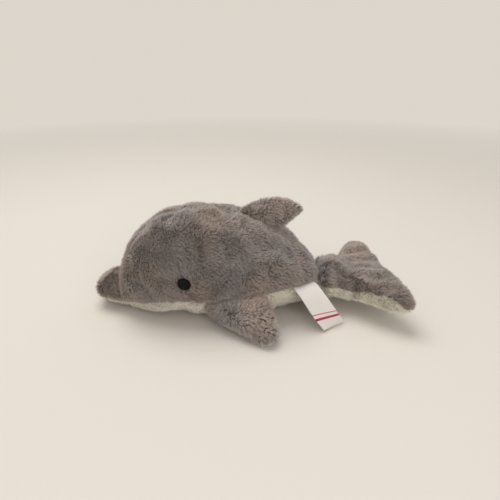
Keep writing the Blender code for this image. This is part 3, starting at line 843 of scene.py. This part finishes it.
def make_pile():
    pile, colours = settings("pile"), settings("colours")
    tree, shade = pile_tree(), pile_shade()
    greys = (colours.grey_root, colours.grey_tip, colours.grey_frost, *GREY_LIGHT_CASTS)
    whites = (colours.white_root, colours.white_tip, colours.white_frost, *WHITE_LIGHT_CASTS)
    grey = pile_finish("pile_grey", shade, greys, GREY_SHADES)
    frosted = pile_finish("pile_frosted", shade, greys, FROSTED_SHADES)
    white = pile_finish("pile_white", shade, whites, WHITE_SHADES)
    for skin in [o for o in bpy.context.scene.objects if o.name.endswith("_skin")]:
        kind = skin.name.split("_")[0]
        growth = GROWTHS[kind]
        for panel in [a.name for a in skin.data.attributes if a.name.endswith(("_panel", "_left", "_right"))]:
            made = linked(panel.replace("_panel", "") + "_pile", skin.data.copy())
            values = {
                "Cloth": panel,
                "Spacing": pile.spacing * (CLOSER if kind != "body" or "tail" in panel else 1.0),
                "Length": pile.length * growth.length,
                "Radius": pile.radius,
                "Lean": pile.lean,
                "Clump": pile.clump * growth.clump,
                "Pull": pile.pull * growth.pull,
                "Lowest": LOWEST,
                "Lightness": growth.lighter,
                "Seed": pile.seed,
                "Material": white if is_white(panel) else frosted if kind == "flipper" else grey,
            }
            grown(made, tree, values)
            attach(made, "root")


# Eyes

def stitch_tree():
    """Satin stitches side by side over a padded oval."""
    n, given = new_tree(
        "Satin Stitches",
        {
            "Threads": ("Int", 25),
            "Long": ("Float", 0.011),
            "High": ("Float", 0.010),
            "Bulge": ("Float", 0.002),
            "Thread": ("Float", 0.00025),
            "Material": ("Material", None),
        },
    )
    half_long, half_high = (n.math("MULTIPLY", given[key], 0.5) for key in ("Long", "High"))
    step = n.math("DIVIDE", given["Long"], n.math("SUBTRACT", given["Threads"], 1))
    row = {
        "Count": given["Threads"],
        "Start Location": n.xyz(n.math("MULTIPLY", half_long, -1.0), 0.0, 0.0),
        "Offset": n.xyz(step, 0.0, 0.0),
    }
    row = n.out("GeometryNodeMeshLine", row, mode="OFFSET")

    def squared(value, half):
        share = n.math("DIVIDE", value, half)
        return n.math("MULTIPLY", share, share)

    def dome(place):
        """How high the padding is at a place."""
        x, y, _ = n.parts(place)
        off = n.math("ADD", squared(x, half_long), squared(y, half_high))
        left = n.math("MAXIMUM", n.math("SUBTRACT", 1.0, off), 0.0)
        return n.math("MULTIPLY", given["Bulge"], n.math("SQRT", left))

    place = n.out("GeometryNodeInputPosition")
    room = n.math("SUBTRACT", 1.05, squared(n.parts(place)[0], half_long))
    chord = n.math("SQRT", n.math("MAXIMUM", room, 0.0))
    chord = n.math("MULTIPLY", n.math("MULTIPLY", chord, half_high), n.chance(0.95, 1.04, 21))
    line = n.out("GeometryNodeCurvePrimitiveLine", {"Start": (0, -1, 0), "End": (0, 1, 0)})
    line = n.out("GeometryNodeResampleCurve", {"Curve": line, "Count": 12})
    lines = {"Points": row, "Instance": line, "Scale": n.xyz(1.0, chord, 1.0)}
    lines = n.out("GeometryNodeInstanceOnPoints", lines)
    lines = n.keep(lines, "loose", n.chance(0.0, 1.0, 22), domain="INSTANCE")
    lines = n.out("GeometryNodeRealizeInstances", {0: lines})
    place = n.out("GeometryNodeInputPosition")
    lifted = n.math("ADD", dome(place), n.math("MULTIPLY", n.stored("loose", "FLOAT"), 0.00012))
    lifted = n.xyz(0.0, 0.0, lifted)
    lines = n.out("GeometryNodeSetPosition", {"Geometry": lines, "Offset": lifted})
    ring = n.out("GeometryNodeCurvePrimitiveCircle", {"Resolution": 6, "Radius": given["Thread"]})
    threads = {"Curve": lines, "Profile Curve": ring, "Fill Caps": True}
    threads = n.out("GeometryNodeCurveToMesh", threads)

    ball = n.out("GeometryNodeMeshUVSphere", {"Segments": 24, "Rings": 12, "Radius": 1.0})
    shape = n.xyz(half_long, half_high, given["Bulge"])
    pad = n.out("GeometryNodeTransform", {"Geometry": ball, "Scale": shape})
    both = n.add("GeometryNodeJoinGeometry")
    n.tree.links.new(pad, both.inputs[0])
    n.tree.links.new(threads, both.inputs[0])
    both = n.out("GeometryNodeSetShadeSmooth", {0: both.outputs[0]})
    return end_tree(n, both, given["Material"])


def thread_finish():
    made, n, shader = new_finish("eye_thread", 0.5, 0.15)
    place = n.add("ShaderNodeTexCoord").outputs["Object"]
    fine = n.out("ShaderNodeTexNoise", {"Vector": place, "Scale": 2500.0, "Detail": 1.0})
    colour = np.array(settings("colours").thread)
    colour = n.mix(n.ramp(fine, 0.3, 0.7), (*(0.7 * colour), 1.0), (*(1.6 * colour), 1.0))
    n.wire(shader.inputs["Base Color"], colour)
    bump = n.out("ShaderNodeBump", {"Strength": 0.3, "Distance": 0.0001, "Height": fine})
    n.wire(shader.inputs["Normal"], bump)
    return made


def make_eyes():
    eyes = settings("eyes")
    tree, finish = stitch_tree(), thread_finish()
    for word, middle, way in eye_places():
        made = linked(f"eye_{word}_stitches", bpy.data.meshes.new("eye"))
        values = {"Threads": eyes.threads, "Long": eyes.long, "High": eyes.high, "Bulge": eyes.bulge}
        grown(made, tree, {**values, "Thread": eyes.thread, "Material": finish})
        lengthwise = Vector((0, 0, 1)).cross(way).normalized()
        turn = Matrix((lengthwise, way.cross(lengthwise), way)).transposed().to_4x4()
        made.data.transform(Matrix.Translation(middle - way * EYE_SUNK) @ turn)
        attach(made, "root")
        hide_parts("eye_" + word)


# Label

def smooth_line(points, steps):
    """A smooth curve through points."""
    points = np.array(points)
    ends = np.vstack([2 * points[0] - points[1], points, 2 * points[-1] - points[-2]])
    rows = []
    for before, start, end, after in zip(ends, ends[1:], ends[2:], ends[3:]):
        for t in np.arange(steps) / steps:
            bent = (end - before) * t + (2 * before - 5 * start + 4 * end - after) * t**2
            rows.append(start + 0.5 * (bent + (3 * start - before - 3 * end + after) * t**3))
    return np.array([*rows, points[-1]])


def ribbon_finish():
    """Plain woven ribbon with lines of another yarn woven in near its fold."""
    colours = settings("colours")
    made, n, shader = new_finish("ribbon", 0.55, 0.4)
    across, along, _ = n.parts(n.out("ShaderNodeUVMap", uv_map=PILE_MAP))
    warp = n.math("SINE", n.math("MULTIPLY", across, 2 * math.pi * WARP))
    weft = n.math("SINE", n.math("MULTIPLY", along, 2 * math.pi * WEFT))
    weave = n.math("MULTIPLY", warp, weft)
    from_fold = n.math("ABSOLUTE", n.math("SUBTRACT", along, 0.5))
    lines = n.math("MAXIMUM", *[n.math("COMPARE", from_fold, *line) for line in WOVEN_LINES])
    colour = n.mix(lines, (*colours.ribbon, 1.0), (*colours.woven_line, 1.0))
    n.wire(shader.inputs["Base Color"], n.scaled(colour, n.ramp(weave, -1.0, 1.0, 0.88, 1.04)))
    bump = n.out("ShaderNodeBump", {"Strength": 0.35, "Distance": 0.0001, "Height": weave})
    n.wire(shader.inputs["Normal"], bump)
    return made


def ribbon_path():
    """The middle of the ribbon from seam to fold and back, the way out of it and the way across it."""
    path = smooth_line(LABEL_LINE, 6)
    share = np.linspace(0, 1, len(path))[:, None]
    across = unit((1 - share) * LABEL_AT_SEAM + share * np.array(LABEL_AT_FOLD))
    along = unit(np.gradient(path, axis=0))
    normal = unit(np.cross(across, along))
    if normal[:, 2].mean() < 0:
        normal = -normal
    layer = (LABEL_HOLLOW + RIBBON) / 2
    turn = np.linspace(0, math.pi, 9)[1:-1, None]
    bend = np.cos(turn) * normal[-1] + np.sin(turn) * along[-1]
    middle = np.vstack([path + normal * layer, path[-1] + layer * bend, (path - normal * layer)[::-1]])
    out = np.vstack([normal, bend, -normal[::-1]])
    widths = np.vstack([across, np.tile(across[-1], (len(turn), 1)), across[::-1]])
    return middle, out, widths


def make_label():
    middle, out, widths = ribbon_path()
    length = np.concatenate([[0], np.cumsum(np.linalg.norm(np.diff(middle, axis=0), axis=1))])
    whole_length = float(length[-1])
    upper = np.sign(0.5 - length / whole_length)[:, None]
    from_seam = (1 - np.abs(2 * length / whole_length - 1))[:, None]
    columns = np.linspace(-0.5, 0.5, LABEL_COLUMNS)[None, :]
    cup = LABEL_CUP * from_seam * (2 * columns) ** 2
    curl = upper * (cup + LABEL_WAVE * np.sin(9 * from_seam + 3 * columns))
    grids = []
    for face in (RIBBON / 2, -RIBBON / 2):
        grid = middle[:, None] + widths[:, None] * (LABEL_WIDTH * columns)[..., None]
        grid = grid + out[:, None] * (face + curl)[..., None]
        grid[..., 2] = np.maximum(grid[..., 2], 0.0006 - face)
        grids.append(grid)
    ring = np.concatenate([grids[0], grids[1][:, ::-1]], axis=1)
    rows, around = ring.shape[:2]
    whole = bmesh.new()
    uv = whole.loops.layers.uv.new(PILE_MAP)
    corners = [[whole.verts.new(p) for p in row] for row in ring]
    share = np.linspace(0, 1, LABEL_COLUMNS)
    share = np.concatenate([share, np.linspace(1, 0, LABEL_COLUMNS)])
    spots = {v: (u, far / whole_length) for far, row in zip(length, corners) for u, v in zip(share, row)}
    for low, high in zip(corners, corners[1:]):
        for j in range(around):
            k = (j + 1) % around
            whole.faces.new((low[j], low[k], high[k], high[j]))
    for row in (corners[0], corners[-1]):
        for j in range(LABEL_COLUMNS - 1):
            whole.faces.new((row[j], row[j + 1], row[around - 2 - j], row[around - 1 - j]))
    bmesh.ops.recalc_face_normals(whole, faces=whole.faces)
    if whole.calc_volume(signed=True) < 0:
        bmesh.ops.reverse_faces(whole, faces=whole.faces)
    for one in whole.faces:
        for loop in one.loops:
            loop[uv].uv = spots[loop.vert]
    made = linked("ribbon_label", bpy.data.meshes.new("label"))
    whole.to_mesh(made.data)
    whole.free()
    made.data.shade_smooth()
    made.data.set_sharp_from_angle(angle=math.radians(60))
    made.data.materials.append(ribbon_finish())
    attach(made, "root")
    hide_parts("label")


# Stage

def lamp(name, place, size, power, colour):
    light = bpy.data.lights.new(name, "AREA")
    light.shape = "DISK"
    light.size = size
    light.energy = power
    light.color = colour
    made = bpy.data.objects.new(name, light)
    made.location = place
    made.rotation_euler = (Vector(LIT) - Vector(place)).to_track_quat("-Z", "Y").to_euler()
    bpy.context.scene.collection.objects.link(made)


def floor_mesh():
    """A round floor that is flat below the dolphin and rises at its rim."""
    profile = [(0.0, 0.0), (0.7, 0.0), (FLOOR_REACH, 0.0)]
    for turn in np.linspace(0, math.pi / 2, 13)[1:]:
        profile.append((FLOOR_REACH + FLOOR_RIM * math.sin(turn), FLOOR_RIM - FLOOR_RIM * math.cos(turn)))
    profile.append((FLOOR_REACH + FLOOR_RIM, FLOOR_WALL))
    dish = bmesh.new()
    edges = [dish.verts.new((r, 0.0, z)) for r, z in profile]
    edges = edges + [dish.edges.new(pair) for pair in zip(edges, edges[1:])]
    turn = {"cent": (0, 0, 0), "axis": (0, 0, 1), "angle": 2 * math.pi, "steps": FLOOR_SIDES}
    bmesh.ops.spin(dish, geom=edges, use_merge=True, **turn)
    bmesh.ops.remove_doubles(dish, verts=dish.verts, dist=1e-5)
    bmesh.ops.recalc_face_normals(dish, faces=dish.faces)
    bmesh.ops.reverse_faces(dish, faces=dish.faces)  # an open dish's outside is its underside
    mesh = bpy.data.meshes.new("floor")
    dish.to_mesh(mesh)
    dish.free()
    mesh.shade_smooth()
    return mesh


def floor_finish():
    """Pale floor that the camera sees fade to the backdrop."""
    given = settings("stage")
    made, n, shader = new_finish("floor", 0.8, 0.3)
    shader.inputs["Base Color"].default_value = (*given.floor, 1.0)
    pale = n.out("ShaderNodeEmission", {"Color": (*given.backdrop, 1.0)})
    place = n.add("ShaderNodeTexCoord").outputs["Object"]
    away = n.ramp(n.vector("LENGTH", place), FADE_FROM, FADE_TO)
    ray = n.add("ShaderNodeLightPath").outputs
    seen = n.math("MAXIMUM", ray["Is Camera Ray"], ray["Is Glossy Ray"])
    seen = n.math("MAXIMUM", seen, ray["Is Transmission Ray"])
    both = n.add("ShaderNodeMixShader", {0: n.math("MULTIPLY", away, seen), 1: shader.outputs[0], 2: pale})
    n.wire(made.node_tree.nodes["Material Output"].inputs["Surface"], both.outputs[0])
    return made


def make_stage():
    given = settings("stage")
    scene = bpy.context.scene
    scene.view_settings.view_transform = "Standard"
    camera = bpy.data.cameras.new("camera")
    camera.lens = given.lens
    camera.sensor_width = 36.0
    camera.clip_start = 0.01
    seen_from = bpy.data.objects.new("camera", camera)
    seen_from.location = (given.along, -given.away, given.high)
    seen_from.rotation_euler = (math.radians(90) - given.down, 0.0, 0.0)
    scene.collection.objects.link(seen_from)
    scene.camera = seen_from

    floor = linked("floor", floor_mesh())
    floor.data.materials.append(floor_finish())

    world = bpy.data.worlds.new("soft_light")
    world.use_nodes = True
    sky = world.node_tree.nodes["Background"]
    sky.inputs["Color"].default_value = (1.0, 0.98, 0.95, 1.0)
    sky.inputs["Strength"].default_value = given.ambient
    scene.world = world
    for name, (place, size, share, colour) in LAMPS.items():
        lamp(name, place, size, given.key * share, colour)


# Operators and panel

class DOLPHIN_OT_skins(bpy.types.Operator):
    """Make the stuffed skins of the body, the flippers and the dorsal fin"""

    bl_idname = "dolphin.skins"
    bl_label = "Stuffed Skins"

    def execute(self, context):
        make_skins()
        return {"FINISHED"}


class DOLPHIN_OT_pile(bpy.types.Operator):
    """Grow the cut pile on every skin"""

    bl_idname = "dolphin.pile"
    bl_label = "Cut Pile"

    def execute(self, context):
        make_pile()
        return {"FINISHED"}


class DOLPHIN_OT_eyes(bpy.types.Operator):
    """Embroider the two eyes"""

    bl_idname = "dolphin.eyes"
    bl_label = "Embroidered Eyes"

    def execute(self, context):
        make_eyes()
        return {"FINISHED"}


class DOLPHIN_OT_label(bpy.types.Operator):
    """Fold the ribbon label that is sewn into the belly seam"""

    bl_idname = "dolphin.label"
    bl_label = "Ribbon Label"

    def execute(self, context):
        make_label()
        return {"FINISHED"}


class DOLPHIN_OT_stage(bpy.types.Operator):
    """Set up the floor, the lights and the camera"""

    bl_idname = "dolphin.stage"
    bl_label = "Stage"

    def execute(self, context):
        make_stage()
        return {"FINISHED"}


OPERATORS = (DOLPHIN_OT_skins, DOLPHIN_OT_pile, DOLPHIN_OT_eyes, DOLPHIN_OT_label, DOLPHIN_OT_stage)


class DOLPHIN_PT_panel(bpy.types.Panel):
    """The pieces of the plush dolphin"""

    bl_label = "Plush Dolphin"
    bl_idname = "DOLPHIN_PT_panel"
    bl_space_type = "VIEW_3D"
    bl_region_type = "UI"
    bl_category = "Dolphin"

    def draw(self, context):
        for operator in OPERATORS:
            self.layout.operator(operator.bl_idname)
        for name in GROUPS:
            box = self.layout.box()
            group = settings(name)
            for key in group.__annotations__:
                box.prop(group, key)


CLASSES = (*GROUPS.values(), *OPERATORS, DOLPHIN_PT_panel)


def register():
    for one in CLASSES:
        bpy.utils.register_class(one)
    for name, group in GROUPS.items():
        setattr(bpy.types.Scene, "dolphin_" + name, PointerProperty(type=group))


def unregister():
    for name in GROUPS:
        delattr(bpy.types.Scene, "dolphin_" + name)
    for one in reversed(CLASSES):
        bpy.utils.unregister_class(one)


def main():
    register()
    bpy.ops.dolphin.skins()
    bpy.ops.dolphin.pile()
    bpy.ops.dolphin.eyes()
    bpy.ops.dolphin.label()
    bpy.ops.dolphin.stage()


if __name__ == "__main__":
    main()
